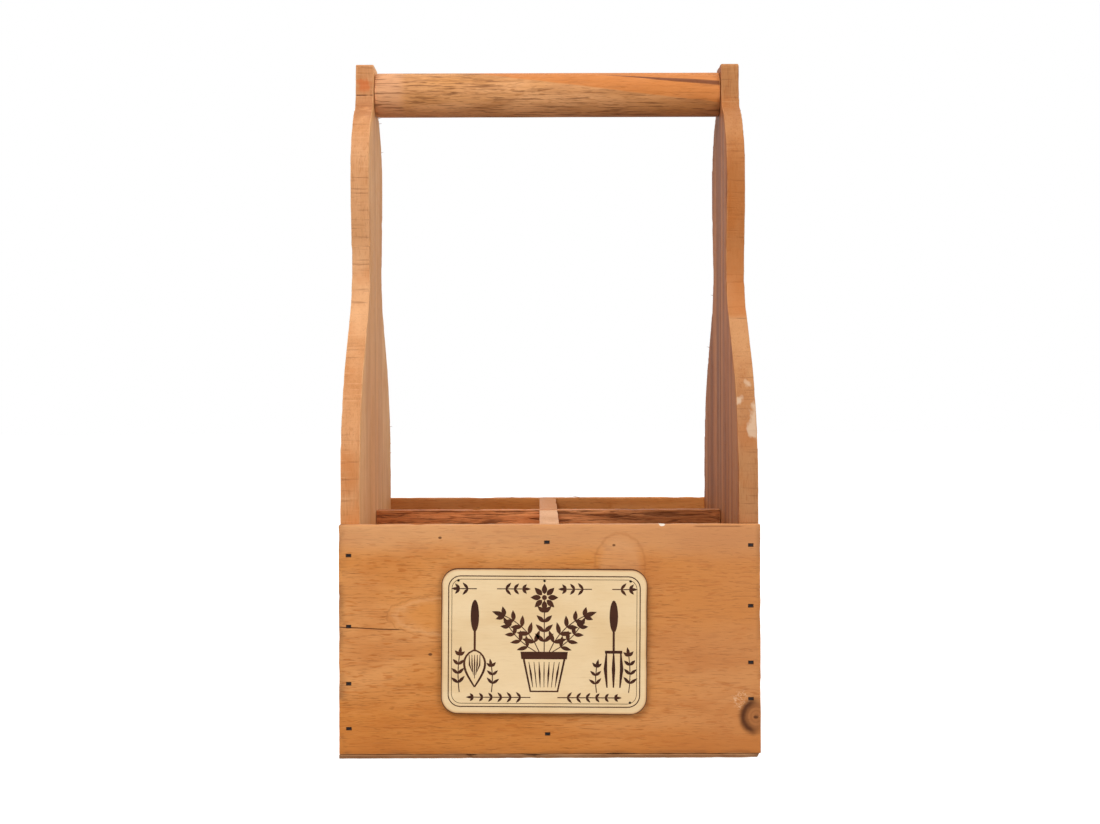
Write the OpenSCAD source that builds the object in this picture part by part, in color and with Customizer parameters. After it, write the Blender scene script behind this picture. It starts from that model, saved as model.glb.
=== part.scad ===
// Wooden garden trug: an open box of four cells between two shaped sides, carried by a dowel handle.
// X runs along the handle, the front panel faces -Y, and Z is up.
// The origin is the middle of the underside.

/* [Box] */
// Width of the box, along the handle
box_w = 250; // [200:1:320]
// Depth of the box over its front and back panels
box_d = 250; // [220:1:320]
// Height of the front and back panels
panel_h = 136; // [120:1:180]
// Thickness of the front and back panels
panel_t = 9; // [6:0.5:14]
// Thickness of the plywood bottom
bottom_t = 2.4; // [2:0.1:6]

/* [Sides] */
// Thickness of a side
side_t = 12; // [10:0.5:18]
// Straight rise of a side's edge between the rim and the shoulder
shoulder_rise = 17; // [4:1:40]
// Radius of the shoulder
shoulder_r = 118; // [80:1:130]
// Lean of the slope above the shoulder, from upright
shoulder_lean = 43.5; // [36:0.5:45]
// Radius of the hollow at the waist
waist_r = 34; // [20:1:40]
// Width of a side at its waist
waist_w = 87; // [60:1:92]
// Radius of the hollow between the waist and the head
flare_r = 105; // [60:1:160]
// Radius of the head's bulge
head_r = 165; // [100:1:220]
// Width of a side at its head
head_w = 101; // [96:1:120]
// Radius of the crown above the head
crown_r = 52; // [44:1:80]
// Radius of the hollow between the crown and the top block
neck_r = 12; // [4:1:20]
// Width of the block at the top of a side
block_w = 32; // [30:1:44]
// Height of the block above the neck
block_h = 19.5; // [17:0.5:40]
// Radius of the block's two top corners
block_corner_r = 3; // [0.5:0.5:8]

/* [Handle] */
// Diameter of the dowel
handle_d = 29; // [22:0.5:30]
// Distance from the top of the sides down to the handle's axis
handle_drop = 18.4; // [16:0.2:24]
// Bevel round each end of the dowel
handle_bevel = 0.8; // [0.2:0.1:2]

/* [Dividers] */
// Thickness of both dividers
divider_t = 12; // [8:0.5:16]
// Distance from the rim down to the top of both dividers
divider_drop = 0; // [0:1:40]
// Play between the two dividers where they are halved together
lap_gap = 0.3; // [0.1:0.1:1]

/* [Plaque] */
// Width of the plaque
plaque_w = 121.6; // [90:0.2:150]
// Height of the plaque
plaque_h = 85.6; // [60:0.2:100]
// Thickness of the plaque
plaque_t = 3; // [2:0.1:5]
// Radius of the plaque's corners
plaque_corner_r = 9.8; // [2:0.2:16]
// Sideways offset of the plaque from the middle of the front panel
plaque_x = -3.3; // [-10:0.1:10]
// Drop of the plaque's centre below the middle of the front panel
plaque_drop = 0.9; // [-8:0.1:8]
// Tilt of the plaque, its right end down
plaque_tilt = 0.5; // [0:0.1:2]

/* [Brads] */
// Diameter of a brad's shank
brad_d = 1.3; // [1:0.1:2]
// Length of the brads that hold the panels and dividers
brad_len = 25; // [18:1:30]
// Length of the brads that hold the bottom
bottom_brad_len = 16; // [12:1:20]
// Width of a brad's T-shaped head
brad_head_w = 2.6; // [2.2:0.1:3.4]
// Thickness of a brad's head across the T
brad_head_t = 1.5; // [1.3:0.1:2.2]
// Height of a brad's head
brad_head_h = 0.9; // [0.5:0.1:1.5]
// Length of a brad's point
brad_point = 2; // [1:0.5:4]
// Depth that a brad's head is driven below the face of a board
brad_set = 0.6; // [0.2:0.1:1.2]
// Depth that a brad's head is driven into the thin bottom
bottom_brad_set = 0.3; // [0.1:0.1:0.6]

/* [Plaque pins] */
// Diameter of a plaque pin's shank
pin_d = 0.8; // [0.6:0.1:1.2]
// Diameter of a plaque pin's head
pin_head_d = 1.5; // [1.2:0.1:2.5]
// Height of a plaque pin's head
pin_head_h = 0.5; // [0.3:0.1:1]
// Length of a plaque pin
pin_len = 9; // [6:0.5:11]
// Inset of the corner pins from the ends of the plaque
pin_inset_x = 10; // [5:0.5:20]
// Inset of the pins from the top and bottom of the plaque
pin_inset_z = 7; // [4:0.5:15]

/* [Handle screws] */
// Diameter of a screw's shank
screw_d = 3.5; // [3:0.1:5]
// Diameter of a screw's countersunk head
screw_head_d = 7; // [6:0.1:9]
// Length of a handle screw
screw_len = 40; // [30:1:60]
// Length of a screw's point
screw_point = 5; // [3:0.5:8]
// Depth of the cross recess in a screw's head
recess_depth = 1.6; // [0.8:0.1:2]
// Width of one arm of the cross recess
recess_arm_w = 0.9; // [0.6:0.1:1.4]

/* [Hidden] */

$fn = 48;

// Play left round everything that is driven into a board
fit_gap = 0.02;
// Extra length of a cut past the face that it leaves
over = 0.5;
// Furthest that the curves of a side lie from their true arcs
curve_error = 0.02;

// The panels and dividers stand on the bottom board
floor_z = bottom_t;
divider_h = panel_h - divider_drop;
inner_w = box_w - 2 * side_t;
side_d = box_d - 2 * panel_t;

// Slope between the shoulder and the waist, as long as the widths ask for
slope_w = side_d / 2 - waist_w / 2 - (shoulder_r + waist_r) * (1 - cos(shoulder_lean));
slope_len = slope_w / sin(shoulder_lean);
// Turns that carry the edge out to the head and back in to the block
flare_turn = acos(1 - (head_w - waist_w) / 2 / (flare_r + head_r));
crown_turn = acos(1 - (head_w - block_w) / 2 / (crown_r + neck_r));

// Right-hand half of a side's edge, from the bottom up.
// A line is [length], and an arc is [radius, turn], its turn positive when it leans the edge inwards.
side_path = [
    [panel_h + shoulder_rise],
    [shoulder_r, shoulder_lean],
    [slope_len],
    [waist_r, -shoulder_lean],
    [flare_r, -flare_turn],
    [head_r, flare_turn],
    [crown_r, crown_turn],
    [neck_r, -crown_turn],
    [block_h - block_corner_r],
    [block_corner_r, 90],
];

// Place [across, up, lean] reached from place p by a line, or by the first share of an arc
function step_end(p, step, share = 1) =
    len(step) == 1
    ? [p[0] - step[0] * sin(p[2]), p[1] + step[0] * cos(p[2]), p[2]]
    : let (r = sign(step[1]) * step[0], lean = p[2] + share * step[1])
      [p[0] - r * (cos(p[2]) - cos(lean)), p[1] + r * (sin(lean) - sin(p[2])), lean];

// Points along one line or arc, without its start
function step_points(p, step) =
    let (n = len(step) == 1 ? 1 : max(4, ceil(abs(step[1]) / 2 / acos(1 - curve_error / step[0]))))
    [for (i = [1:n]) let (q = step_end(p, step, i / n)) [q[0], q[1]]];

// Points along a whole path from place p
function path_points(p, path, i = 0) =
    i == len(path)
    ? []
    : concat(step_points(p, path[i]), path_points(step_end(p, path[i]), path, i + 1));

side_edge = path_points([side_d / 2, 0, 0], side_path);
side_h = side_edge[len(side_edge) - 1][1];
handle_z = floor_z + side_h - handle_drop;

// Rows of brads up the ends of a panel: even steps, each with the error of its hand
brad_margin = 15.5;
panel_brad_gap = (panel_h - 2 * brad_margin) / 3;
function panel_brads(errors) =
    [for (i = [0:3]) floor_z + brad_margin + i * panel_brad_gap + errors[i]];
front_left_z = panel_brads([0, -8.5, -9.5, -2.5]);
front_right_z = panel_brads([17, 3.5, 2, 3]);
back_left_z = panel_brads([3, -2, 4, -1]);
back_right_z = panel_brads([1, 5, -3, 2]);
// Heights of the two brads into each end of a divider
divider_brad_z = [floor_z + 12, floor_z + divider_h - 10.5];
// Places along a side and along a panel of the brads through the bottom
bottom_side_y = [for (k = [-1.5:1.5]) k * side_d / 4.4];
bottom_panel_x = [for (k = [-1, -0.4, 0.4, 1]) k * inner_w * 0.39];

// Turns its children, which point along +Z, into the box through the named face
module into(face) {
    turn = face == "front" ? [-90, 0, 0]
         : face == "back" ? [90, 0, 0]
         : face == "left" ? [0, 90, 0]
         : face == "right" ? [0, -90, 0]
         : [0, 0, 0];
    rotate(turn) children();
}

// A brad that points along +Z, with the top of its head at the origin. As a hole it is wider and opens upwards
module brad(length, set_depth, hole = false) {
    gap = hole ? fit_gap : 0;
    mouth = hole ? set_depth + over : 0;
    translate([-brad_head_w / 2 - gap, -brad_head_t / 2 - gap, -mouth])
        cube([brad_head_w + 2 * gap, brad_head_t + 2 * gap, brad_head_h + mouth + gap]);
    cylinder(h = length - brad_point, d = brad_d + 2 * gap);
    translate([0, 0, length - brad_point])
        cylinder(h = brad_point, d1 = brad_d + 2 * gap, d2 = brad_d / 3 + 2 * gap);
    if (hole)
        translate([0, 0, length - over])
            cylinder(h = over + gap, d = brad_d / 3 + 2 * gap);
}

// Row of panel brads up one end of the front or back panel
module panel_end_brads(face, x, heights, hole) {
    y = box_d / 2 - brad_set;
    for (z = heights)
        translate([x, face == "front" ? -y : y, z])
            into(face) brad(brad_len, brad_set, hole);
}

module front_left_brads(hole = false) {
    color("dimgray") panel_end_brads("front", -box_w / 2 + side_t / 2, front_left_z, hole);
}

module front_right_brads(hole = false) {
    color("dimgray") panel_end_brads("front", box_w / 2 - side_t / 2, front_right_z, hole);
}

module front_divider_brads(hole = false) {
    color("dimgray") panel_end_brads("front", -1.5, divider_brad_z, hole);
}

module back_left_brads(hole = false) {
    color("dimgray") panel_end_brads("back", -box_w / 2 + side_t / 2, back_left_z, hole);
}

module back_right_brads(hole = false) {
    color("dimgray") panel_end_brads("back", box_w / 2 - side_t / 2, back_right_z, hole);
}

module back_divider_brads(hole = false) {
    color("dimgray") panel_end_brads("back", 1, divider_brad_z, hole);
}

// Two brads through a side into the end of the long divider
module side_divider_brads(face, hole) {
    x = box_w / 2 - brad_set;
    for (z = divider_brad_z)
        translate([face == "left" ? -x : x, 0, z])
            into(face) rotate(90) brad(brad_len, brad_set, hole);
}

module left_divider_brads(hole = false) {
    color("dimgray") side_divider_brads("left", hole);
}

module right_divider_brads(hole = false) {
    color("dimgray") side_divider_brads("right", hole);
}

module bottom_side_brads(hole = false) {
    color("dimgray")
        for (x = [-1, 1] * (box_w - side_t) / 2, y = bottom_side_y)
            translate([x, y, bottom_brad_set])
                rotate(90) brad(bottom_brad_len, bottom_brad_set, hole);
}

module bottom_panel_brads(hole = false) {
    color("dimgray")
        for (x = bottom_panel_x, y = [-1, 1] * (box_d - panel_t) / 2)
            translate([x, y, bottom_brad_set])
                brad(bottom_brad_len, bottom_brad_set, hole);
}

// Turns its children about the plaque's centre, on the face of the front panel
module on_front() {
    translate([plaque_x, -box_d / 2, floor_z + panel_h / 2 - plaque_drop])
        rotate([0, plaque_tilt, 0]) children();
}

// Small round-headed pins: three along the top of the plaque and one in its lower right corner
module plaque_pins(hole = false) {
    gap = hole ? fit_gap : 0;
    pin_x = plaque_w / 2 - pin_inset_x;
    pin_z = plaque_h / 2 - pin_inset_z;
    color("gray")
        on_front()
            for (place = [[-pin_x, pin_z], [0, pin_z], [pin_x, pin_z], [pin_x, -pin_z]])
                translate([place[0], -plaque_t, place[1]])
                    into("front") {
                        translate([0, 0, hole ? -over : 0])
                            cylinder(h = pin_head_h + (hole ? over : 0) + gap, d = pin_head_d + 2 * gap);
                        cylinder(h = pin_len + gap, d = pin_d + 2 * gap);
                    }
}

// Countersunk wood screw that points along +Z. As a hole it is wider and opens upwards
module screw(hole = false) {
    gap = hole ? fit_gap : 0;
    head_h = (screw_head_d - screw_d) / 2;
    r = screw_d / 2 + gap;
    head_r = screw_head_d / 2 + gap;
    difference() {
        rotate_extrude()
            polygon([[0, hole ? -over : 0], [head_r, hole ? -over : 0], [head_r, 0], [r, head_h],
                     [r, screw_len - screw_point], [0.3 + gap, screw_len + gap], [0, screw_len + gap]]);
        if (!hole)
            for (a = [0, 90])
                rotate(a)
                    translate([-screw_head_d * 0.3, -recess_arm_w / 2, -over])
                        cube([screw_head_d * 0.6, recess_arm_w, recess_depth + over]);
    }
}

module left_handle_screw(hole = false) {
    color("silver") translate([-box_w / 2, 0, handle_z]) into("left") screw(hole);
}

module right_handle_screw(hole = false) {
    color("silver") translate([box_w / 2, 0, handle_z]) into("right") screw(hole);
}

// Three-ply board under the whole box
module bottom_board() {
    color("burlywood")
        difference() {
            translate([-box_w / 2, -box_d / 2, 0]) cube([box_w, box_d, bottom_t]);
            bottom_side_brads(hole = true);
            bottom_panel_brads(hole = true);
        }
}

// Board across the front or back, as wide as the box, which covers the edges of the sides
module end_panel(y) {
    translate([-box_w / 2, y, floor_z]) cube([box_w, panel_t, panel_h]);
}

module front_panel() {
    color("peru")
        difference() {
            end_panel(-box_d / 2);
            front_left_brads(hole = true);
            front_right_brads(hole = true);
            front_divider_brads(hole = true);
            bottom_panel_brads(hole = true);
            plaque_pins(hole = true);
        }
}

module back_panel() {
    color("peru")
        difference() {
            end_panel(box_d / 2 - panel_t);
            back_left_brads(hole = true);
            back_right_brads(hole = true);
            back_divider_brads(hole = true);
            bottom_panel_brads(hole = true);
        }
}

// Shaped board: straight up to the shoulder, drawn in to a waist, out to a head and in again to the block
module side_board(x) {
    other_edge = [for (i = [len(side_edge) - 1:-1:0]) [-side_edge[i][0], side_edge[i][1]]];
    foot = [[-side_d / 2, 0], [side_d / 2, 0]];
    translate([x, 0, floor_z])
        rotate([90, 0, 90])
            linear_extrude(side_t) polygon(concat(side_edge, other_edge, foot));
}

module left_side() {
    color("sandybrown")
        difference() {
            side_board(-box_w / 2);
            front_left_brads(hole = true);
            back_left_brads(hole = true);
            left_divider_brads(hole = true);
            bottom_side_brads(hole = true);
            left_handle_screw(hole = true);
        }
}

module right_side() {
    color("sandybrown")
        difference() {
            side_board(box_w / 2 - side_t);
            front_right_brads(hole = true);
            back_right_brads(hole = true);
            right_divider_brads(hole = true);
            bottom_side_brads(hole = true);
            right_handle_screw(hole = true);
        }
}

// Slot that is half as high as a divider and lets the other one through
module lap_slot(from_top) {
    slot_w = divider_t + lap_gap;
    slot_h = divider_h / 2 + lap_gap / 2;
    translate([-slot_w / 2, -slot_w / 2, from_top ? divider_h - slot_h : -over])
        cube([slot_w, slot_w, slot_h + over]);
}

// Divider between the two sides, slotted from below
module long_divider() {
    color("saddlebrown")
        difference() {
            translate([-inner_w / 2, -divider_t / 2, floor_z]) cube([inner_w, divider_t, divider_h]);
            translate([0, 0, floor_z]) lap_slot(from_top = false);
            left_divider_brads(hole = true);
            right_divider_brads(hole = true);
        }
}

// Divider between the front and back panels, slotted from above
module cross_divider() {
    color("tan")
        difference() {
            translate([-divider_t / 2, -side_d / 2, floor_z]) cube([divider_t, side_d, divider_h]);
            translate([0, 0, floor_z]) lap_slot(from_top = true);
            front_divider_brads(hole = true);
            back_divider_brads(hole = true);
        }
}

// Dowel that butts against both sides, with its ends bevelled
module handle() {
    r = handle_d / 2;
    half = inner_w / 2;
    color("chocolate")
        difference() {
            translate([0, 0, handle_z])
                rotate([0, 90, 0])
                    rotate_extrude($fn = 96)
                        polygon([[0, -half], [r - handle_bevel, -half], [r, -half + handle_bevel],
                                 [r, half - handle_bevel], [r - handle_bevel, half], [0, half]]);
            left_handle_screw(hole = true);
            right_handle_screw(hole = true);
        }
}

// Thin plate with round corners, pinned to the front panel
module plaque() {
    corner_x = plaque_w / 2 - plaque_corner_r;
    corner_z = plaque_h / 2 - plaque_corner_r;
    color("wheat")
        difference() {
            on_front()
                rotate([90, 0, 0])
                    linear_extrude(plaque_t)
                        union() {
                            square([plaque_w, 2 * corner_z], center = true);
                            square([2 * corner_x, plaque_h], center = true);
                            for (x = [-1, 1] * corner_x, z = [-1, 1] * corner_z)
                                translate([x, z]) circle(plaque_corner_r);
                        }
            plaque_pins(hole = true);
        }
}

bottom_board();
front_panel();
back_panel();
left_side();
right_side();
long_divider();
cross_divider();
handle();
plaque();
front_left_brads();
front_right_brads();
front_divider_brads();
back_left_brads();
back_right_brads();
back_divider_brads();
left_divider_brads();
right_divider_brads();
bottom_side_brads();
bottom_panel_brads();
left_handle_screw();
right_handle_screw();
plaque_pins();
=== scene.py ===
"""Looks of a wooden garden trug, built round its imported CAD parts. Lengths are in metres."""
import math
import bmesh
import bpy
from mathutils import Matrix, Vector, noise


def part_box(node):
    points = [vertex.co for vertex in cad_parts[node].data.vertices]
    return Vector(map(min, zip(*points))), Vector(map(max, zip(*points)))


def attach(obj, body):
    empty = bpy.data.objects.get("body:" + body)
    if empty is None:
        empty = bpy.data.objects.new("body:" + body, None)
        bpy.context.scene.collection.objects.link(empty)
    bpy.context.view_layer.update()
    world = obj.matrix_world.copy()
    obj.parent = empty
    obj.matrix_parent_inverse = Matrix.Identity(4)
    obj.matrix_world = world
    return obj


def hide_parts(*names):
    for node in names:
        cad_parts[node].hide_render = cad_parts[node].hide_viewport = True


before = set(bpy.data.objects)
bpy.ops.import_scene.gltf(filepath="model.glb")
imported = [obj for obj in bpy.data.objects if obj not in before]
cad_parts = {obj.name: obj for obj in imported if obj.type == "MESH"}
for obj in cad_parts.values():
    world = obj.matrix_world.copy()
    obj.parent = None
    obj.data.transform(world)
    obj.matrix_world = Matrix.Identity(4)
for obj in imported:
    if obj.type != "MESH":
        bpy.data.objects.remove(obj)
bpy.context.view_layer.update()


# The camera stands square to the front panel, level and a little above the rim. It leans by a sixth
# of a degree, and the picture is centred a little to the right of where it points, and below it.
mm = 0.001
scene = bpy.context.scene
camera = bpy.data.cameras.new("camera")
camera.lens = 60.34
camera.sensor_width = 36
camera.shift_x = 0.0096
camera.shift_y = -0.0322
stand = bpy.data.objects.new("camera", camera)
stand.location = Vector((-5.65, -1216, 225.9)) * mm
stand.rotation_euler = (math.radians(90), math.radians(0.17), 0)
scene.collection.objects.link(stand)
scene.camera = stand
scene.view_settings.view_transform = "Standard"


# The studio is plain white. A broad lamp hangs above and to the left in front, a weaker one fills
# from the right, a third lights the cells from above, and the floor is a large white card.
class Value:
    """One socket of a node, so that maths on masks is written as maths and adds its own nodes."""

    def __init__(self, recipe, socket):
        self.recipe = recipe
        self.socket = socket

    def maths(self, operation, *others):
        """Adds a Math node that works on this value and others."""
        sockets = dict(enumerate((self,) + others))
        return self.recipe.node("Math", sockets, {"operation": operation})

    def __add__(self, other):
        return self.maths("ADD", other)

    def __sub__(self, other):
        return self.maths("SUBTRACT", other)

    def __rsub__(self, other):
        return self.recipe.node("Math", {0: other, 1: self}, {"operation": "SUBTRACT"})

    def __mul__(self, other):
        return self.maths("MULTIPLY", other)

    def __truediv__(self, other):
        return self.maths("DIVIDE", other)

    def __abs__(self):
        return self.maths("ABSOLUTE")

    __radd__ = __add__
    __rmul__ = __mul__

    def rise(self, low, high):
        """0 below low, 1 above high and smooth between."""
        return self.recipe.node("MapRange", {"Value": self, "From Min": low, "From Max": high},
                                {"interpolation_type": "SMOOTHSTEP"})

    def near(self, place, reach):
        """1 at place, and 0 further than reach from it."""
        return 1 - abs(self - place).rise(0, reach)


class Recipe:
    """The nodes of one material, or of the world."""

    def __init__(self, owner):
        owner.use_nodes = True
        self.owner = owner
        self.tree = owner.node_tree
        self.tree.nodes.clear()

    def feed(self, socket, value):
        """Links a socket to a value, or sets it to a number or a colour."""
        if isinstance(value, Value):
            self.tree.links.new(value.socket, socket)
        elif socket.type == "RGBA" and len(value) == 3:
            socket.default_value = (*value, 1)
        else:
            socket.default_value = value

    def node(self, kind, sockets=None, settings=None, output=None):
        """Adds a node and returns the named output, or its first one."""
        made = self.tree.nodes.new("ShaderNode" + kind)
        for name, value in (settings or {}).items():
            setattr(made, name, value)
        for key, value in (sockets or {}).items():
            named = [s for s in made.inputs if s.enabled and s.name == key]
            self.feed(named[0] if named else made.inputs[key], value)
        shown = [s for s in made.outputs if s.enabled and output in (None, s.name)]
        return Value(self, shown[0]) if shown else None

    def mix(self, share, first, second):
        """The first colour where the share is 0, and the second where it is 1."""
        return self.node("Mix", {"Factor": share, "A": first, "B": second}, {"data_type": "RGBA"})


white = (1, 1, 1)
sky_light = 0.42
sky = Recipe(scene.world or bpy.data.worlds.new("studio"))
scene.world = sky.owner
seen = sky.node("LightPath", output="Is Camera Ray")
for ray in ("Is Glossy Ray", "Is Transmission Ray"):
    seen = seen.maths("MAXIMUM", sky.node("LightPath", output=ray))
glow = sky.node("Background", {"Color": white, "Strength": seen * (1 - sky_light) + sky_light})
sky.node("OutputWorld", {"Surface": glow})


def lamp(name, place, size, watts):
    """A broad lamp that points at the middle of the trug."""
    light = bpy.data.lights.new(name, "AREA")
    light.shape = "RECTANGLE"
    light.size, light.size_y = size
    light.energy = watts
    holder = bpy.data.objects.new(name, light)
    holder.location = place
    aim = Vector((0, 0, 200 * mm)) - Vector(place)
    holder.rotation_euler = aim.to_track_quat("-Z", "Y").to_euler()
    scene.collection.objects.link(holder)


lamp("key_lamp", place=(-1.1, -2.0, 2.1), size=(1.8, 1.4), watts=49)
lamp("fill_lamp", place=(1.9, -2.2, 0.9), size=(1.4, 1.8), watts=27)
lamp("top_lamp", place=(0.2, 0.3, 2.4), size=(1.6, 1.6), watts=16)

floor_reach = 6
card_seen = (0.8, 0.8, 0.8)
card_glow = 0.78
card_bounce = (0.45, 0.45, 0.45)
floor_mesh = bmesh.new()
bmesh.ops.create_grid(floor_mesh, x_segments=1, y_segments=1, size=floor_reach)
floor_data = bpy.data.meshes.new("floor")
floor_mesh.to_mesh(floor_data)
floor_mesh.free()
floor = bpy.data.objects.new("floor", floor_data)
floor.location.z = -0.2 * mm
scene.collection.objects.link(floor)
card = Recipe(bpy.data.materials.new("card"))
lit = card.node("BsdfDiffuse", {"Color": card_seen})
bright = card.node("AddShader", {0: lit, 1: card.node("Emission", {"Color": white, "Strength": card_glow})})
grey = card.node("BsdfDiffuse", {"Color": card_bounce})
to_camera = card.node("LightPath", output="Is Camera Ray")
card.node("OutputMaterial", {"Surface": card.node("MixShader", {0: to_camera, 1: grey, 2: bright})})
floor_data.materials.append(card.owner)


# The bottom is a thin three-ply board under the whole box, nailed on from below. Its edge shows as
# a ragged dark line under the panels, and one front corner is broken off.
def tint(*screen):
    """A colour as it looks on the screen, from 0 to 255, in the numbers that a shader takes."""
    return tuple(((c / 255 + 0.055) / 1.055) ** 2.4 if c > 10 else c / 3295 for c in screen)


class Timber(Recipe):
    """Stained wood: yearly rings, short dark fibres and blotches, with the arrises worn pale."""

    def __init__(self, name, along, heart, tones, ring=3.2 * mm, rings=0.25, seed=0.0,
                 fleck=0.35, blotch=(7, 20), warp=10 * mm):
        """The grain runs along an axis. The heart is the middle of the tree, in the other two axes."""
        super().__init__(bpy.data.materials.new(name))
        self.pale, self.plain, self.deep, self.dark = (tint(*tone) for tone in tones)
        split = self.node("SeparateXYZ", {0: self.node("TexCoord", output="Object")})
        self.place = dict(zip("XYZ", (Value(self, s) for s in split.socket.node.outputs)))
        across, up = (self.place[axis] for axis in "XYZ" if axis != along)
        self.lie = self.node("CombineXYZ", {0: self.place[along] + seed, 1: across, 2: up})

        slow, quick = self.speckle(5, 12) - 0.5, self.speckle(18, 60) - 0.5
        across, up = across - heart[0], up - heart[1]
        self.reach = (across * across + up * up).maths("SQRT") + (slow * warp + quick * (warp / 6))
        self.ring = ring
        self.rings = rings
        self.fleck = fleck
        self.blotch = blotch

    def speckle(self, along, across, detail=2, rough=0.5, warp=0.0):
        """Noise with this many lumps to the metre along the grain and across it."""
        stretched = self.node("VectorMath", {0: self.lie, 1: (along, across, across)},
                              {"operation": "MULTIPLY"})
        return self.node("TexNoise", {"Vector": stretched, "Scale": 1, "Detail": detail,
                                      "Roughness": rough, "Distortion": warp})

    def oval(self, wobble=0.15, **spans):
        """0 in the middle of an oval and 1 on its rim. Each span is a middle and a half width in
        millimetres."""
        parts = [(self.place[axis] - middle * mm) / (half * mm) for axis, (middle, half) in spans.items()]
        return sum(part * part for part in parts).maths("SQRT") + (self.speckle(240, 240, 3) - 0.5) * wobble

    def wash(self, share, colour):
        """Mixes one of the wood's own colours in where a mask says so."""
        self.colour = self.mix(share, self.colour, colour)

    def tone(self, share, screen):
        """Mixes in a colour that is given as it looks on the screen."""
        self.wash(share, tint(*screen))

    def marked(self, name):
        """What the mesh says of each of its corners."""
        return self.node("Attribute", settings={"attribute_name": name}, output="Fac")

    def grow(self):
        """Colour, height and roughness of the plain wood."""
        year = (self.reach / self.ring).maths("FRACT")
        late = year.rise(0.3, 0.88) * (1 - year.rise(0.92, 1))
        fibre = self.speckle(80, 1300, 3, 0.6)
        dashes = self.speckle(120, 750, 1).rise(0.6, 0.7)
        pores = self.speckle(170, 1500, 1).rise(0.6, 0.74)
        long_pores = self.speckle(60, 900, 2, 0.7).rise(0.6, 0.72)
        along, across = self.blotch
        patch = self.speckle(along, across, 3, 0.55).rise(0.36, 0.64)
        cloud = self.speckle(along * 2.6, across * 2.2, 3, 0.6).rise(0.4, 0.75)
        self.colour = self.mix(patch, self.plain, self.pale)
        self.wash(cloud * 0.6, self.deep)
        self.wash(late * self.rings, self.deep)
        self.wash(dashes * self.fleck, self.deep)
        self.wash(((fibre - 0.5) * 1.1).rise(-0.02, 0.5) * self.fleck, self.dark)
        self.wash((0.5 - fibre).rise(0, 0.5) * self.fleck, self.pale)
        self.wash((pores * 0.45 + long_pores * 0.4) * self.fleck, self.dark)
        self.height = fibre * 0.5 + late * 0.3 - pores * 0.5 - long_pores * 0.6
        self.rough = 0.62 - late * 0.06 + pores * 0.2

    def finish(self, depth=0.12 * mm, hole_shade_and_stain=True):
        """Pale worn arrises and dark marks, as the mesh marks them, and the shader. The dark is painted
        shade with stain in holes, and darker splinters.
        """
        worn = self.marked("worn") * self.speckle(90, 90).rise(0.35, 0.6)
        self.wash(worn * 0.55, self.pale)
        # The dark that the mesh marks is painted shade with stain in the holes over brads and screws, and
        # darker splinters.
        if hole_shade_and_stain:
            self.tone(self.marked("dark"), (62, 34, 18))
        bump = self.node("Bump", {"Strength": 1.0, "Distance": depth, "Height": self.height})
        self.node("OutputMaterial", {"Surface": self.node("BsdfPrincipled", {
            "Base Color": self.colour, "Roughness": self.rough, "Normal": bump,
            "Specular IOR Level": 0.18})})
        return self.owner


def start_mesh():
    """An empty mesh whose corners can be marked as worn or dark."""
    bm = bmesh.new()
    bm.loops.layers.float.new("worn")
    bm.loops.layers.float.new("dark")
    return bm


def mark(bm, faces, name, amount=1.0):
    """Marks the corners of some faces."""
    layer = bm.loops.layers.float[name]
    for face in faces:
        for corner in face.loops:
            corner[layer] = amount


def box_board(bm, node):
    """A plain board as large as a CAD node."""
    low, high = (Vector(corner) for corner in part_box(node))
    bmesh.ops.create_cube(bm, size=1, matrix=Matrix.LocRotScale((low + high) / 2, None, high - low))


def ease(bm, width):
    """Takes the sharpness off the arrises with sandpaper."""
    sharp = [e for e in bm.edges if e.calc_face_angle(0) > math.radians(50)]
    made = bmesh.ops.bevel(bm, geom=sharp, affect="EDGES", offset=width, segments=2, profile=0.5,
                           material=-1, clamp_overlap=True)
    mark(bm, made["faces"], "worn")


def divide(bm, axis, step):
    """Cuts a mesh into even slices, so that its surface can be shaped."""
    along = Vector([float(axis == i) for i in range(3)])
    places = [v.co[axis] for v in bm.verts]
    low, high = min(places), max(places)
    count = max(1, round((high - low) / step))
    for i in range(1, count):
        bmesh.ops.bisect_plane(bm, geom=bm.verts[:] + bm.edges[:] + bm.faces[:], dist=1e-6,
                               plane_co=along * (low + (high - low) * i / count), plane_no=along)


def driven(node):
    """The box round each separate brad, pin or screw of a CAD node."""
    bm = bmesh.new()
    bm.from_mesh(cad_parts[node].data)
    bmesh.ops.remove_doubles(bm, verts=bm.verts, dist=1e-6)
    left = set(bm.verts)
    boxes = []
    while left:
        group = set()
        edge = [left.pop()]
        while edge:
            vert = edge.pop()
            group.add(vert)
            edge += [e.other_vert(vert) for e in vert.link_edges if e.other_vert(vert) in left]
            left.difference_update(edge)
        places = [v.co for v in group]
        boxes.append((Vector([min(p[i] for p in places) for i in range(3)]),
                      Vector([max(p[i] for p in places) for i in range(3)])))
    bm.free()
    return boxes


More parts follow.
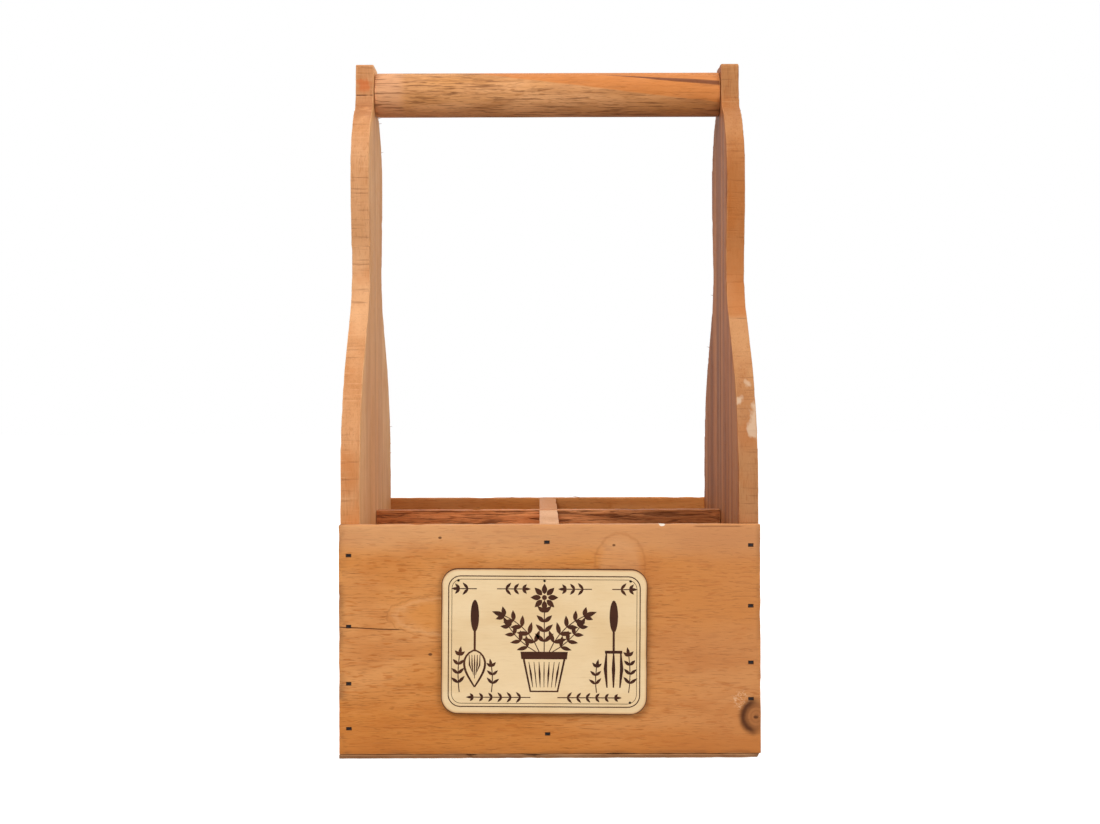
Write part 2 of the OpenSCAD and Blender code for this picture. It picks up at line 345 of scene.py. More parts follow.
def sink(bm, rim, out, depth, narrow=1.0):
    """Sinks a hole with a convex outline into the surface that faces out."""
    middle = sum(rim, Vector()) / len(rim)
    reach = max((p - middle).length for p in rim)
    axis = max(range(3), key=lambda i: abs(out[i]))
    others = [i for i in range(3) if i != axis]
    cuts = [(point, (after - point).cross(out).normalized()) for point, after in zip(rim, rim[1:] + rim[:1])]

    def covers(face):
        spans = [(min(v.co[i] for v in face.verts), max(v.co[i] for v in face.verts)) for i in others]
        level = abs(face.verts[0].co[axis] - middle[axis]) < 0.5 * mm
        return level and all(a - reach < middle[i] < b + reach for i, (a, b) in zip(others, spans))

    def inside(face):
        centre = face.calc_center_median()
        return all((centre - point).dot(cut) * (middle - point).dot(cut) > 0 for point, cut in cuts)

    faces = [f for f in bm.faces if f.normal.dot(out) > 0.9 and covers(f)]
    for point, cut in cuts:
        geom = list({g for f in faces for g in (f, *f.edges, *f.verts)})
        made = bmesh.ops.bisect_plane(bm, geom=geom, dist=1e-7, plane_co=point, plane_no=cut)
        faces = {g for g in made["geom"] if isinstance(g, bmesh.types.BMFace)} | set(faces)
        faces = [f for f in faces if f.is_valid]
    geom = list({g for f in faces if inside(f) for g in (f, *f.edges, *f.verts)})
    made = bmesh.ops.extrude_face_region(bm, geom=geom)
    moved = [g for g in made["geom"] if isinstance(g, bmesh.types.BMVert)]
    shift = -Vector(out) * depth
    bmesh.ops.translate(bm, verts=moved, vec=shift)
    bmesh.ops.scale(bm, verts=moved, vec=[narrow] * 3, space=Matrix.Translation(-(middle + shift)))
    # The walls and floor of the hole are marked dark: painted shade in the hole, with stain.
    mark(bm, {f for v in moved for f in v.link_faces}, "dark", 0.85)


def sink_brads(bm, node, out, depth, torn=0.3 * mm):
    """A ragged hole over the head of each brad."""
    shuffle = 900
    axis = max(range(3), key=lambda i: abs(out[i]))
    first, second = (i for i in range(3) if i != axis)
    face = max(v.co[axis] * out[axis] for v in bm.verts) * out[axis]
    for low, high in driven(node):
        grow = [torn * (1 + noise.noise(low * shuffle + Vector((7, 0, i)))) for i in range(4)]
        rim = []
        for a, b in ((0, 0), (1, 0), (1, 1), (0, 1)):
            corner = Vector((0, 0, 0))
            corner[axis] = face
            corner[first] = (high if a else low)[first] + (grow[0] if a else -grow[1])
            corner[second] = (high if b else low)[second] + (grow[2] if b else -grow[3])
            rim.append(corner)
        sink(bm, rim, Vector(out), depth)


def weather(bm, bite=0.55 * mm, dip=0.12 * mm, seed=0.0):
    """Small bites out of the arrises and slow dips in the faces, always inwards."""
    worn = bm.loops.layers.float["worn"]
    dips_to_metre, bites_to_metre, grit_to_metre = 28, 95, 420
    grit = 0.12 * mm
    bm.normal_update()
    moves = []
    for vert in bm.verts:
        place = vert.co + Vector((seed, seed * 1.7, -seed))
        amount = dip * (0.5 + 0.5 * noise.noise(place * dips_to_metre))
        if any(corner[worn] > 0.5 for corner in vert.link_loops):
            amount += bite * max(0.0, noise.noise(place * bites_to_metre) - 0.12) * 1.5
            amount += grit * (1 + noise.noise(place * grit_to_metre))
        moves.append((vert, vert.normal * -amount))
    for vert, move in moves:
        vert.co += move


def make_piece(bm, name, materials, slot, *nodes):
    """Turns a finished mesh into a piece of the object."""
    for face in bm.faces:
        face.smooth = True
    for edge in bm.edges:
        edge.smooth = edge.calc_face_angle(0) < math.radians(38)
    data = bpy.data.meshes.new(name)
    bm.to_mesh(data)
    bm.free()
    piece = bpy.data.objects.new(name, data)
    scene.collection.objects.link(piece)
    for material in materials:
        data.materials.append(material)
    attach(piece, "root")
    if nodes:
        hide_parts(*nodes)


ply_low, ply_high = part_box("bottom_board")
ply = start_mesh()
box_board(ply, "bottom_board")
ease(ply, 0.25 * mm)
for axis in (0, 1):
    divide(ply, axis, 2.5 * mm)
for node in ("bottom_side_brads", "bottom_panel_brads"):
    sink_brads(ply, node, (0, 0, -1), 0.3 * mm, torn=0.1 * mm)
weather(ply, bite=0.5 * mm, dip=0.04 * mm, seed=3)
broken_corner = Vector((ply_high[0], ply_low[1], 0))
break_reach = 9 * mm
break_pull = Vector((0.25, -0.15))
for vert in ply.verts:
    ragged = 1 + 0.3 * noise.noise(vert.co * 300)
    gone = break_reach - (vert.co - broken_corner).length * ragged
    if gone > 0:
        vert.co.xy -= break_pull * gone

ply_tones = ((196, 148, 104), (176, 124, 80), (146, 94, 56), (84, 50, 30))
plywood = Timber("plywood", "X", (0.3, -0.05), ply_tones, fleck=0.5, seed=2.1)
plywood.grow()
height = plywood.place["Z"] / (ply_high[2] - ply_low[2])
inner_ply = height.near(0.5, 0.2)
glue = (height.near(0.3, 0.1) + height.near(0.7, 0.1)).maths("MINIMUM", 1)
plywood.wash(inner_ply * 0.5, plywood.dark)
plywood.tone(glue * 0.6, (60, 36, 24))
make_piece(ply, "bottom_board_ply", [plywood.finish()], "plywood", "bottom_board")


# The two sides are sawn from 12 mm pine board with their grain upright, and stand between the panels.
# Their faces are planed, and their curved edges are left as the saw cut them, with fine lines across.
def outline_board(bm, points, axis, low, high):
    """A board sawn to an outline. The points are in the two axes other than the one it is thick along."""
    def place(point, depth):
        values = list(point)
        values.insert(axis, depth)
        return values
    rim = [bm.verts.new(place(point, low)) for point in points]
    made = bmesh.ops.extrude_face_region(bm, geom=[bm.faces.new(rim)], use_keep_orig=True)
    far = [g for g in made["geom"] if isinstance(g, bmesh.types.BMVert)]
    bmesh.ops.translate(bm, verts=far, vec=place((0, 0), high - low))
    bmesh.ops.recalc_face_normals(bm, faces=bm.faces)


# From the bottom, the edge runs straight up, in over the shoulder to the waist, out by the flare to
# the head, and over the crown and the neck to the block that holds the handle.
floor_z = ply_high[2]
straight = 153 * mm
lean = math.radians(43.5)
shoulder_r, waist_r, flare_r, head_r = 118 * mm, 34 * mm, 105 * mm, 165 * mm
crown_r, neck_r, corner_r = 52 * mm, 12 * mm, 3 * mm
waist_half, head_half, block_half = 43.5 * mm, 50.5 * mm, 16 * mm
block_rise = 16.5 * mm


def side_edge(half_depth):
    """Points up the back edge of a side, in Y and Z."""
    slope = (half_depth - waist_half - (shoulder_r + waist_r) * (1 - math.cos(lean))) / math.sin(lean)
    flare = math.acos(1 - (head_half - waist_half) / (flare_r + head_r))
    crown = math.acos(1 - (head_half - block_half) / (crown_r + neck_r))
    steps = ((straight, 0), (shoulder_r, lean), (slope, 0), (waist_r, -lean), (flare_r, -flare),
             (head_r, flare), (crown_r, crown), (neck_r, -crown), (block_rise, 0),
             (corner_r, math.pi / 2))
    line = bmesh.new()
    tip = line.verts.new((0, half_depth, floor_z))
    turned = 0.0
    points = [tip.co.copy()]
    for size, turn in steps:
        if turn == 0:
            made = bmesh.ops.extrude_vert_indiv(line, verts=[tip])["verts"]
            bmesh.ops.translate(line, verts=made, vec=(0, -size * math.sin(turned), size * math.cos(turned)))
            tip = made[0]
            points.append(tip.co.copy())
            continue
        out = Vector((0, math.cos(turned), math.sin(turned))) * math.copysign(size, turn)
        count = max(4, round(abs(turn) / math.radians(3)))
        start = tip.co.copy()
        for i in range(count):
            made = bmesh.ops.spin(line, geom=[tip], cent=start - out, axis=(1, 0, 0), angle=turn / count,
                                  steps=1, dvec=(0, 0, 0))
            tip = next(g for g in made["geom_last"] if isinstance(g, bmesh.types.BMVert))
            points.append(tip.co.copy())
        turned += turn
    line.free()
    return [(p.y, p.z) for p in points]


def sliver(bm, root, tip, thick=0.22):
    """A hair splinter from root to tip, in millimetres."""
    root, tip = Vector(root) * mm, Vector(tip) * mm
    spin = (tip - root).to_track_quat("Z", "Y")
    made = bmesh.ops.create_cone(bm, cap_ends=True, segments=5, radius1=thick * mm, radius2=0.04 * mm,
                                 depth=(tip - root).length,
                                 matrix=Matrix.LocRotScale((root + tip) / 2, spin, None))
    mark(bm, {f for v in made["verts"] for f in v.link_faces}, "dark", 0.6)


screw_hole_depth, screw_hole_taper, screw_play = 1.6 * mm, 0.55, 0.1 * mm


def make_side(hand, seed, splinters):
    """A side with holes over its brads and its screw, and splinters at some heights in millimetres."""
    low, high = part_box(hand + "_side")
    right_half = side_edge(high[1])
    bm = start_mesh()
    outline_board(bm, right_half + [(-y, z) for y, z in reversed(right_half)], 0, low[0], high[0])
    for face in bm.faces:
        if abs(face.normal.x) < 0.5:
            face.material_index = 1
    ease(bm, 0.8 * mm)
    divide(bm, 2, 4 * mm)
    divide(bm, 1, 4 * mm)
    out, outside, inside = (-1.0, low[0], high[0]) if hand == "left" else (1.0, high[0], low[0])
    sink_brads(bm, hand + "_divider_brads", (out, 0, 0), 0.6 * mm)
    (screw_low, screw_high), = driven(hand + "_handle_screw")
    middle = (screw_low + screw_high) / 2
    middle.x = outside
    radius = (screw_high.z - screw_low.z) / 2 + screw_play
    rim = [middle + Vector((0, math.cos(a) * radius, math.sin(a) * radius))
           for a in (math.tau * i / 20 for i in range(20))]
    sink(bm, rim, Vector((out, 0, 0)), screw_hole_depth, screw_hole_taper)
    weather(bm, bite=0.5 * mm, seed=seed)
    inner = inside / mm
    for z in splinters:
        back = max(v.co.y for v in bm.verts if abs(v.co.z - z * mm) < 4 * mm) / mm
        sliver(bm, (inner + out * 0.6, back - 1.4, z), (inner - out * 1.3, back - 0.5, z + 0.5))
    return bm


left_heart, right_heart = (0.16, -0.06), (-0.12, 0.05)
left_face_tones = ((252, 198, 138), (242, 180, 116), (222, 152, 88), (140, 86, 48))
left_edge_tones = ((224, 166, 118), (205, 142, 90), (184, 116, 62), (112, 64, 34))
right_face_tones = ((194, 126, 78), (174, 106, 60), (142, 78, 38), (92, 50, 24))
right_edge_tones = ((200, 144, 94), (178, 118, 68), (164, 94, 40), (96, 54, 28))
left_face = Timber("left_side_face", "Z", left_heart, left_face_tones, ring=7 * mm, rings=0.3,
                   fleck=0.3, warp=14 * mm, seed=0.7)
left_face.grow()
left_face.tone(left_face.speckle(1.5, 70).rise(0.48, 0.62) * 0.35, (206, 138, 86))
right_face = Timber("right_side_face", "Z", right_heart, right_face_tones, ring=8 * mm, rings=0.35,
                    fleck=0.3, warp=14 * mm, seed=4.2)
right_face.grow()
right_face.tone(right_face.speckle(1.5, 80).rise(0.48, 0.6) * 0.5, (122, 72, 38))
right_face.tone((1 - right_face.speckle(1.5, 60).rise(0.36, 0.5)) * 0.5, (204, 140, 90))

left_edge = Timber("left_side_edge", "Z", left_heart, left_edge_tones, ring=7 * mm, rings=0.12,
                   fleck=0.35, seed=1.3)
right_edge = Timber("right_side_edge", "Z", right_heart, right_edge_tones, ring=8 * mm, rings=0.12,
                    fleck=0.45, seed=5.9)
for edge in (left_edge, right_edge):
    edge.grow()
    edge.tone(edge.place["Z"].near(280 * mm, 60 * mm) * 0.35, (232, 176, 124))
    edge.tone(edge.speckle(30, 40, 3).rise(0.5, 0.7) * 0.45, (196, 112, 48))
    saw = edge.speckle(700, 35, 3, 0.6)
    edge.wash(saw.rise(0.56, 0.72) * 0.5, edge.dark)
    edge.wash((1 - saw.rise(0.28, 0.42)) * 0.5, edge.pale)
    edge.height = edge.height * 0.5 - saw.rise(0.5, 0.7) * 0.8

z = left_edge.place["Z"]
block_stain = 1 - left_edge.oval(2.4, X=(-119.5, 5), Z=(415.5, 5)).rise(0.3, 1.3)
left_edge.tone(block_stain * 0.7, (204, 104, 48))
saw_line = z.near(409.4 * mm, 0.7 * mm) * left_edge.speckle(40, 300).rise(0.3, 0.5)
left_edge.tone(saw_line, (78, 40, 20))
left_edge.tone((1 - z.rise(138 * mm, 156 * mm)) * 0.4, (206, 128, 58))
grubby = z.near(399 * mm, 14 * mm) * left_edge.speckle(120, 160, 3).rise(0.3, 0.55)
left_edge.tone(grubby * 0.6, (164, 98, 54))

z = right_edge.place["Z"]
# Darker on the right edge from 264 mm up, fading out between 330 and 420 mm. The sharp line at 264 mm is the
# wood's own colour, and the fade is painted shade on the flare where it faces down.
right_edge.tone(z.rise(261 * mm, 265 * mm) * (1 - z.rise(330 * mm, 420 * mm)) * 0.6, (182, 104, 42))
right_edge.tone((1 - z.rise(190 * mm, 250 * mm)) * 0.5, (160, 104, 62))
scuffs = right_edge.speckle(60, 90, 3).rise(0.52, 0.62)
scuffs = scuffs * (1 - z.rise(215 * mm, 235 * mm)) * z.rise(160 * mm, 180 * mm)
right_edge.tone(scuffs * 0.7, (214, 184, 154))
make_piece(make_side("left", 11, (400, 397, 379, 190, 178, 171, 155)), "left_side_board",
           [left_face.finish(), left_edge.finish()], "stained_pine", "left_side")
make_piece(make_side("right", 17, (281, 246)), "right_side_board",
           [right_face.finish(), right_edge.finish()], "stained_pine", "right_side")


# The front panel is a planed pine board nailed over the edges of the sides, with its grain level. It
# has a knot at a corner, a split that starts at a brad, and a small white chip in its top edge.
panel_tones = ((218, 150, 88), (210, 134, 62), (186, 106, 42), (104, 54, 22))


def make_panel(which, out, bite, dip, seed):
    """A planed board with a hole over each of its brads."""
    bm = start_mesh()
    box_board(bm, which + "_panel")
    ease(bm, 0.7 * mm)
    divide(bm, 0, 3 * mm)
    divide(bm, 2, 3 * mm)
    for row in ("left", "right", "divider"):
        sink_brads(bm, f"{which}_{row}_brads", out, 0.6 * mm)
    weather(bm, bite, dip, seed)
    return bm


front_wood = Timber("front_panel_wood", "X", (0.14, 0.10), panel_tones, ring=6 * mm, rings=0.25,
                    fleck=0.6, warp=20 * mm, seed=8.8)
knot_x, knot_z = 122.2, 24.4
knot = front_wood.oval(X=(knot_x, 7.6), Z=(knot_z, 8.2))
round_knot = 1 - front_wood.oval(X=(knot_x, 34), Z=(knot_z, 20)).rise(0, 1)
front_wood.reach = front_wood.reach + round_knot * 14 * mm
front_wood.grow()

x, z = front_wood.place["X"], front_wood.place["Z"]
drift = (front_wood.speckle(9, 26) - 0.5) * 22 * mm
# Painted light: the front panel is paler along its top, with a wavy edge.
front_wood.tone((z + drift).rise(112 * mm, 130 * mm) * 0.55, (214, 158, 110))
front_wood.tone((x + drift * 2).rise(20 * mm, 110 * mm) * 0.4, (190, 124, 76))
# Painted shade: the front panel is darker orange along its bottom, with a wavy edge.
front_wood.tone((1 - (z + drift).rise(4 * mm, 30 * mm)) * 0.4, (192, 114, 48))

arch = front_wood.oval(0.15, X=(41.7, 15), Z=(114, 19))
front_wood.tone((1 - arch.rise(0.6, 1)) * 0.3, (222, 166, 118))
front_wood.tone(arch.near(1, 0.08) * 0.3, (168, 100, 54))
loop = front_wood.oval(0.3, X=(-58, 30), Z=(84.3, 10))
front_wood.tone((1 - loop.rise(0.7, 1)) * 0.45, (216, 138, 62))
front_wood.tone(loop.near(1.1, 0.14) * 0.35, (228, 168, 112))
front_wood.tone(loop.near(1.28, 0.05) * 0.35, (160, 96, 48))

crackle = front_wood.speckle(420, 420).near(0.5, 0.035)
beside_knot = 1 - front_wood.oval(X=(113, 7), Z=(34, 7)).rise(0.5, 1)
front_wood.tone(crackle * beside_knot * 0.8, (232, 188, 146))
front_wood.tone((1 - knot.rise(0.8, 1.1)) * 0.75, (158, 98, 54))
knot_rim = knot.near(1.05, 0.5) * (1 - x.rise(118 * mm, 124 * mm) * 0.6)
front_wood.tone(knot_rim * 0.95, (78, 38, 14))
knot_rings = (knot * 3.5).maths("FRACT").near(0.5, 0.4) * (1 - knot.rise(0.9, 1))
front_wood.tone(knot_rings * 0.25, (112, 64, 30))
for spot_x, spot_z, size in ((121.8, 24, 1.1), (-64.8, 130.7, 0.8), (-70.7, 61.7, 0.9), (38.1, 126, 0.7)):
    spot = front_wood.oval(0.4, X=(spot_x, size * 1.4), Z=(spot_z, size))
    front_wood.tone((1 - spot.rise(0.6, 1.2)) * 0.85, (86, 48, 24))

split_start, split_fall = 77.9 * mm, 0.046
split = split_start - (x + 125 * mm) * split_fall + (front_wood.speckle(60, 2) - 0.5) * 0.8 * mm
gap = (1 - abs(z - split).rise(0.16 * mm, 0.42 * mm)) * (1 - x.rise(-92 * mm, -84 * mm))
front_wood.tone(gap * 0.9, (82, 40, 18))
front_wood.height = front_wood.height - gap * 2

chip = 1 - front_wood.oval(0.5, X=(66.7, 1.9), Z=(138.2, 1.1)).rise(0.7, 1.1)
front_wood.tone(chip * 0.9, (250, 238, 222))
scratch = x.rise(84 * mm, 88 * mm) * (1 - x.rise(111 * mm, 116 * mm)) * z.near(137 * mm, 0.8 * mm)
front_wood.tone(scratch * 0.6, (116, 64, 30))
grime = (1 - x.rise(-125 * mm, -119 * mm)) + x.rise(121 * mm, 125 * mm) * 0.6
grime = grime + (1 - z.rise(2.4 * mm, 6 * mm)) * 0.7
front_wood.tone(grime * front_wood.speckle(70, 70, 3).rise(0.4, 0.62) * 0.6, (124, 80, 50))
make_piece(make_panel("front", (0, -1, 0), 0.55 * mm, 0.1 * mm, 23), "front_panel_board",
           [front_wood.finish()], "stained_pine", "front_panel")


# The back panel is a board like the front one, nailed over the sides in the same way. Its top edge
# is rougher, with two hair splinters that stand up from it.
back = make_panel("back", (0, 1, 0), 0.8 * mm, 0.12 * mm, 31)
back_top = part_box("back_panel")[1][2] / mm
sliver(back, (25.5, 119, back_top - 0.6), (12.3, 118.4, back_top + 2.2), 0.3)
sliver(back, (-31, 119, back_top - 0.6), (-22, 118.6, back_top + 0.9))
back_wood = Timber("back_panel_wood", "X", (-0.08, 0.16), panel_tones, ring=6 * mm, rings=0.3,
                   fleck=0.45, warp=20 * mm, seed=14.5)
back_wood.grow()
make_piece(back, "back_panel_board", [back_wood.finish()], "stained_pine", "back_panel")


# The long divider is a rough-sawn pine board from side to side, with torn faces, darker to the right.
# It is slotted from below, to drop over the cross divider, and brads hold it through the sides.
divider_heart = (0.1, -0.12)


def slotted(node, axis, from_top, play=0.15 * mm):
    """Outline of a divider with its slot, in the two axes other than the one it is thick along."""
    low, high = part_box(node)
    start, end = low[1 - axis], high[1 - axis]
    half = (high[axis] - low[axis]) / 2 + play
    middle = (low[2] + high[2]) / 2 + (-play / 2 if from_top else play / 2)
    cut, far = (high[2], low[2]) if from_top else (low[2], high[2])
    return [(start, cut), (-half, cut), (-half, middle), (half, middle), (half, cut), (end, cut),
            (end, far), (start, far)]


long_low, long_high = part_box("long_divider")
long = start_mesh()
outline_board(long, slotted("long_divider", 1, False), 1, long_low[1], long_high[1])
ease(long, 0.5 * mm)
divide(long, 0, 2.5 * mm)
divide(long, 2, 1.5 * mm)
weather(long, bite=0.7 * mm, dip=0.1 * mm, seed=41)
tear_depth = 0.9 * mm
tears_along, tears_up, tears_across = 28, 260, 30
for vert in long.verts:
    if abs(vert.co.y) > 5 * mm and vert.co.z < long_high[2] - 1.2 * mm:
        place = Vector((vert.co.x * tears_along, vert.co.z * tears_up, vert.co.y * tears_across))
        tear = noise.noise(place) + 0.5 * noise.noise(place * 2.3)
        vert.co.y -= math.copysign(1, vert.co.y) * tear_depth * max(0, 0.45 + tear)
long_tones = ((244, 164, 104), (222, 138, 80), (176, 100, 50), (84, 42, 18))
rough_wood = Timber("long_divider_wood", "X", divider_heart, long_tones, ring=5 * mm, rings=0.5,
                    fleck=0.8, blotch=(16, 60), seed=20.2)
rough_wood.grow()
tears = rough_wood.speckle(30, 420, 3, 0.6, 0.6)
rough_wood.tone(tears.rise(0.54, 0.62) * 0.7, (92, 48, 20))
rough_wood.tone((1 - tears.rise(0.36, 0.44)) * 0.5, (218, 150, 96))
rough_wood.tone(rough_wood.place["X"].rise(-5 * mm, 70 * mm) * 0.5, (118, 64, 28))
rough_wood.height = rough_wood.height - tears.rise(0.5, 0.62)
make_piece(long, "long_divider_board", [rough_wood.finish(0.3 * mm)], "rough_pine", "long_divider")


# The cross divider is a smoother pine board from the front panel to the back one, paler in front. It
# is slotted from above, to take the long divider, and brads hold it through the panels.
cross_low, cross_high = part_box("cross_divider")
cross = start_mesh()
outline_board(cross, slotted("cross_divider", 0, True), 0, cross_low[0], cross_high[0])
ease(cross, 0.4 * mm)
divide(cross, 1, 3 * mm)
divide(cross, 2, 3 * mm)
weather(cross, bite=0.5 * mm, seed=47)
cross_tones = ((234, 182, 136), (224, 168, 120), (196, 134, 86), (124, 76, 44))
cross_wood = Timber("cross_divider_wood", "Y", divider_heart, cross_tones, ring=5 * mm, rings=0.15,
                    fleck=0.25, seed=26.1)
cross_wood.grow()
cross_wood.tone(cross_wood.place["Y"].rise(-8 * mm, 20 * mm) * 0.9, (196, 126, 68))
make_piece(cross, "cross_divider_board", [cross_wood.finish()], "stained_pine", "cross_divider")


# The handle is a turned hardwood dowel with open dark pores, held by a screw through each side. It is
# brown below and orange above, with one dark streak along it.
dowel_low, dowel_high = (Vector(corner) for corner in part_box("handle"))
dowel_r = (dowel_high.z - dowel_low.z) / 2
turned = Matrix.Translation((dowel_low + dowel_high) / 2) @ Matrix.Rotation(math.radians(90), 4, "Y")
dowel = start_mesh()
bmesh.ops.create_cone(dowel, cap_ends=True, segments=96, radius1=dowel_r, radius2=dowel_r,
                      depth=dowel_high.x - dowel_low.x, matrix=turned)
ease(dowel, 0.8 * mm)
divide(dowel, 0, 3 * mm)
weather(dowel, bite=0.2 * mm, dip=0.15 * mm, seed=53)
dowel_tones = ((226, 164, 110), (206, 142, 82), (172, 112, 62), (92, 54, 30))
dowel_wood = Timber("handle_wood", "X", (0.02, 0.46), dowel_tones, ring=4 * mm, rings=0.2,
                    fleck=0.7, blotch=(12, 60), seed=33.3)
dowel_wood.grow()
x, z = dowel_wood.place["X"], dowel_wood.place["Z"]
wave = (dowel_wood.speckle(25, 60) - 0.5) * 3 * mm
above_change = z + wave - 418.5 * mm + x * 0.129
orange = above_change.rise(-0.6 * mm, 0.6 * mm)
dowel_wood.tone(orange * 0.7, (206, 120, 52))
dowel_wood.tone((1 - orange) * x.rise(-30 * mm, 110 * mm) * 0.45, (176, 112, 62))
off_streak = z + wave * 0.3 - 426.1 * mm + x * 0.0785
breadth = x.rise(30 * mm, 112 * mm) * 1.7 * mm + 0.05 * mm
streak = (1 - (abs(off_streak) / breadth).rise(0.5, 1.2)) * x.rise(28 * mm, 42 * mm)
dowel_wood.tone(streak * 0.85, (104, 56, 36))
dowel_wood.tone((1 - x.rise(-99 * mm, -91 * mm)) * 0.5, (222, 164, 124))
long_marks = dowel_wood.speckle(45, 700, 2, 0.6).rise(0.56, 0.64) * (1 - orange * 0.7)
dowel_wood.tone(long_marks * 0.6, (112, 66, 34))
make_piece(dowel, "handle_dowel", [dowel_wood.finish(0.2 * mm)], "dowel", "handle")


# The plaque is a thin pale board with round corners, held to the front panel by four small pins. It
# was cut with a hot beam that scorched its edge, and it hangs half a degree out of true.
plaque_w, plaque_h, plaque_t, plaque_r = 121.6 * mm, 85.6 * mm, 3 * mm, 9.8 * mm
scorched_w = 2.6 * mm
plaque_low, plaque_high = (Vector(corner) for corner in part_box("plaque"))
hung = Matrix.Translation((plaque_low + plaque_high) / 2) @ Matrix.Rotation(math.radians(0.5), 4, "Y")
plate = start_mesh()
bmesh.ops.create_cube(plate, size=1, matrix=Matrix.Diagonal((plaque_w, plaque_t, plaque_h, 1)))
corners = [e for e in plate.edges if abs((e.verts[0].co - e.verts[1].co).y) > 1 * mm]
bmesh.ops.bevel(plate, geom=corners, affect="EDGES", offset=plaque_r, segments=14, profile=0.5, material=-1)
front_face = [f for f in plate.faces if f.normal.y < -0.9]
bmesh.ops.inset_region(plate, faces=front_face, thickness=scorched_w, use_even_offset=True)
rim_verts = {v for f in plate.faces if abs(f.normal.y) < 0.5 for v in f.verts}
for face in plate.faces:
    for corner in face.loops:
        if corner.vert in rim_verts and face.normal.y < 0.5:
            corner[plate.loops.layers.float["dark"]] = 1
bmesh.ops.transform(plate, matrix=hung, verts=plate.verts)
plaque_tones = ((242, 214, 170), (236, 206, 160), (224, 188, 136), (170, 128, 84))
plaque_wood = Timber("plaque_wood", "X", (0.3, 0.1), plaque_tones, rings=0.12, fleck=0.15, seed=40.4)
plaque_wood.grow()
scorch = plaque_wood.marked("dark") + (plaque_wood.speckle(50, 50, 3) - 0.5) * 0.3
plaque_wood.tone(scorch.rise(0.25, 0.95) * 0.55, (200, 130, 66))
plaque_wood.tone(scorch.rise(0.7, 0.92) * 0.95, (70, 34, 16))
make_piece(plate, "plaque_plate", [plaque_wood.finish(0.05 * mm, hole_shade_and_stain=False)], "plaque_wood", "plaque")


# The drawing is burnt into the plaque's face: a pot of leaves and a flower between a trowel and a
# hand fork, with sprigs and a double line round them. Its points are in millimetres from the middle.
drawing = start_mesh()
skin = -plaque_t / 2
proud = 0.05 * mm
layers, layer_step = 23, 0.002 * mm


def brand(outline):
    """Burns in a closed outline. Each one stands a hair higher than the last, so that none flicker."""
    layer = len(drawing.verts) // 2 % layers * layer_step
    face = drawing.faces.new([drawing.verts.new((x * mm, skin + 0.02 * mm, z * mm)) for x, z in outline])
    made = bmesh.ops.extrude_face_region(drawing, geom=[face, *face.edges, *face.verts])
    top = [g for g in made["geom"] if isinstance(g, bmesh.types.BMVert)]
    bmesh.ops.translate(drawing, verts=top, vec=(0, -proud - layer, 0))


def stroke(points, thin, thick=None):
    """A line from thin at its ends to thick in its middle."""
    thick = thick or thin
    last = len(points) - 1
    sides = ([], [])
    for i, (x, z) in enumerate(points):
        ahead, behind = points[min(i + 1, last)], points[max(i - 1, 0)]
        run = Vector((ahead[0] - behind[0], ahead[1] - behind[1])).normalized()
        half = (thin + (thick - thin) * math.sin(math.pi * i / last)) / 2
        sides[0].append((x - run.y * half, z + run.x * half))
        sides[1].append((x + run.y * half, z - run.x * half))
    brand(sides[0] + sides[1][::-1])


def leaf(x, z, turn, length, width):
    """A pointed leaf that grows from a point, with turn 0 to the right."""
    turn = math.radians(turn)
    upper, lower = [], []
    for i in range(9):
        share = i / 8
        along = Vector((math.cos(turn), math.sin(turn))) * length * share
        out = Vector((-math.sin(turn), math.cos(turn))) * (width / 2 * math.sin(math.pi * share ** 0.8))
        upper.append((x + along.x + out.x, z + along.y + out.y))
        lower.append((x + along.x - out.x, z + along.y - out.y))
    brand(upper + lower[-2:0:-1])


def sprig(x, z, turn, bend, steps, reach, size):
    """A curved stem with a leaf on either side at each step and one at its tip."""
    points = [(x, z)]
    for i in range(steps):
        x, z = x + reach * math.cos(math.radians(turn)), z + reach * math.sin(math.radians(turn))
        points.append((x, z))
        for side in (-1, 1):
            leaf(x, z, turn + side * 48, size * (1 - 0.35 * i / steps), size * 0.34)
        turn += bend
    leaf(x, z, turn, size, size * 0.36)
    stroke(points, 0.55)


def oval_points(middle_x, middle_z, half_x, half_z, count):
    """The outline of a plain oval."""
    return [(middle_x + half_x * math.cos(a), middle_z + half_z * math.sin(a))
            for a in (math.tau * i / count for i in range(count))]


def ring(half_x, half_z, radius, width):
    """A thin line round the plaque, with round corners."""
    flat_x, flat_z = half_x - radius, half_z - radius
    quarter = [math.pi / 2 * i / 8 for i in range(9)]
    for side_x in (-1, 1):
        stroke([(side_x * half_x, z) for z in (-flat_z, 0, flat_z)], width)
        for side_z in (-1, 1):
            stroke([(side_x * (flat_x + radius * math.sin(a)), side_z * (flat_z + radius * math.cos(a)))
                    for a in quarter], width)
    for side_z in (-1, 1):
        stroke([(x, side_z * half_z) for x in (-flat_x, 0, flat_x)], width)


ring(56.5, 38.5, 7, 0.6)
ring(54.6, 36.6, 5.6, 0.3)

soil = -6
sprig(0, soil, 90, 0, 4, 5.8, 7.5)
for side in (-1, 1):
    sprig(side * 3, soil, 90 - side * 26, -side * 9, 5, 6, 8)
    sprig(side * 5, soil, 90 - side * 58, side * 7, 4, 5.4, 7)
flower = 26
for turn in range(0, 360, 45):
    a = math.radians(turn)
    leaf(2 * math.cos(a), flower + 2 * math.sin(a), turn, 6.2, 3.2)
brand(oval_points(0, flower, 1.5, 1.5, 12))

pot_lip, pot_foot = -10.4, -29.4
brand([(-14, soil), (14, soil), (13.4, pot_lip), (-13.4, pot_lip)])
stroke([(-12, pot_lip), (-8, pot_foot), (8, pot_foot), (12, pot_lip)], 1.2)
for i in range(-3, 4):
    stroke([(i * 3, -12), (i * 2.6, -19), (i * 2.2, -27)], 0.3, 1.2 if i % 2 else 0.7)

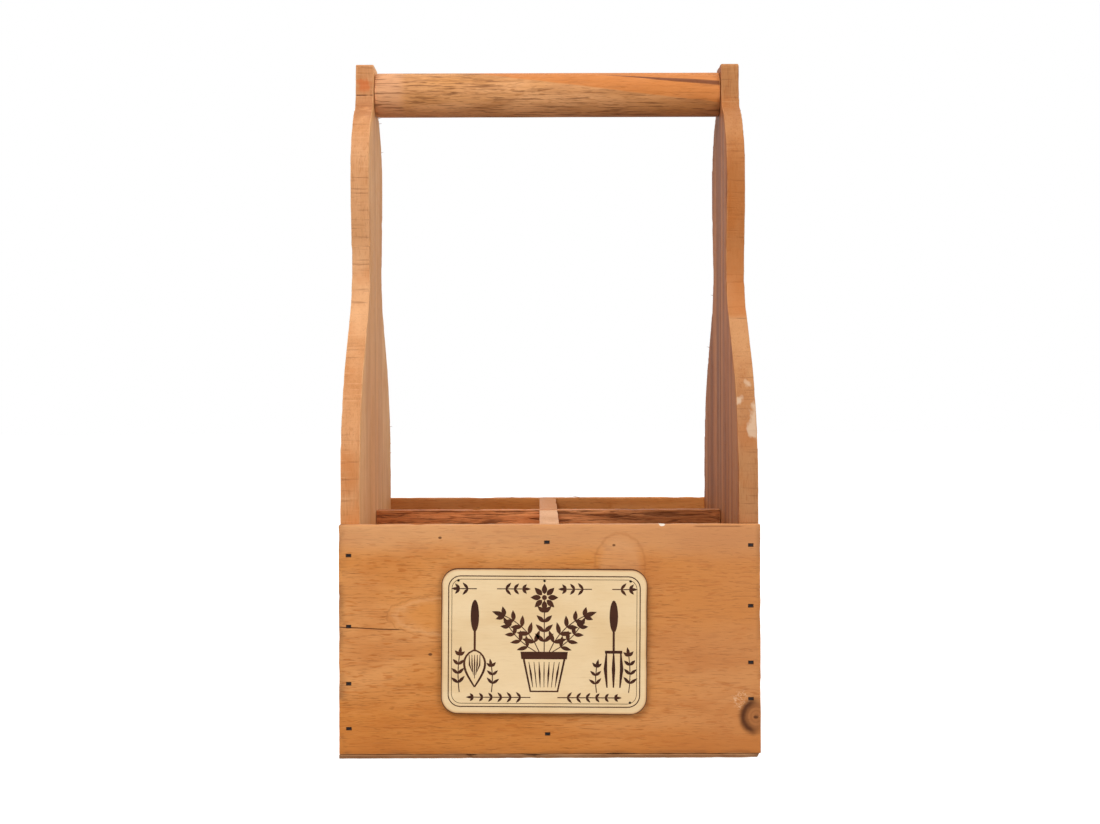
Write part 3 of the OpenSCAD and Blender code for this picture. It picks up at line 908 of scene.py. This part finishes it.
tool = 41
for side in (-1, 1):
    middle = side * tool
    brand(oval_points(middle, 15, 2.5, 9.5, 20))
    stroke([(middle, 6.5), (middle, 0), (middle, -6)], 1.3)
    sprig(side * 50, -30, 90 - side * 6, side * 4, 4, 5.4, 5.6)
    sprig(side * 31, -30, 90 + side * 6, -side * 6, 3, 5, 5)
    sprig(side * 40, 31, 90 - side * 90, 0, 2, 5, 5)
    sprig(side * 28, 31, 90 + side * 90, 0, 3, 5, 5)
    sprig(side * 8, -33, 90 - side * 90, 0, 6, 5.6, 4.4)
blade = [(-tool + 6.2 * math.sin(math.pi * t ** 0.7), -5 - 22 * t) for t in (i / 12 for i in range(13))]
stroke(blade, 0.9, 1.3)
stroke([(-2 * tool - x, z) for x, z in blade], 0.9, 1.3)
for i in range(-2, 3):
    stroke([(-tool + i * 1.6, -8), (-tool + i * 1.5, -14), (-tool + i * 0.7, -22 + abs(i) * 2)], 0.3, 0.9)
for side in (-1, 0, 1):
    stroke([(tool + side * 4.2, -6), (tool + side * 4.8, -16), (tool + side * 3.8, -27)], 0.8, 2.1)
stroke([(35.9, -6), (tool, -6), (46.1, -6)], 1.7)
bmesh.ops.recalc_face_normals(drawing, faces=drawing.faces)
bmesh.ops.transform(drawing, matrix=hung, verts=drawing.verts)
burnt_tones = ((84, 46, 26), (62, 30, 16), (48, 22, 12), (30, 14, 8))
burnt = Timber("burnt_wood", "X", (0.3, 0.1), burnt_tones, fleck=0.3, seed=50)
burnt.grow()
make_piece(drawing, "plaque_drawing", [burnt.finish(0.03 * mm)], "plaque_wood")


# The fasteners are bought in, and they keep their CAD shapes. The brads are dark steel, and the
# plaque's pins and the handle's screws are plated.
dark_steel, plated = (58, 52, 52), (150, 146, 140)
for node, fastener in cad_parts.items():
    if "brads" in node or "screw" in node or "pins" in node:
        colour = dark_steel if "brads" in node else plated
        steel = Recipe(bpy.data.materials.new(node + "_steel"))
        stain = steel.node("TexNoise", {"Vector": steel.node("TexCoord", output="Object"),
                                        "Scale": 900, "Detail": 3})
        tone = steel.mix(stain.rise(0.35, 0.7), tint(*colour), tint(*(c * 0.55 for c in colour)))
        steel.node("OutputMaterial", {"Surface": steel.node("BsdfPrincipled", {
            "Base Color": tone, "Metallic": 0.8, "Roughness": stain * 0.3 + 0.3})})
        fastener.data.materials.clear()
        fastener.data.materials.append(steel.owner)
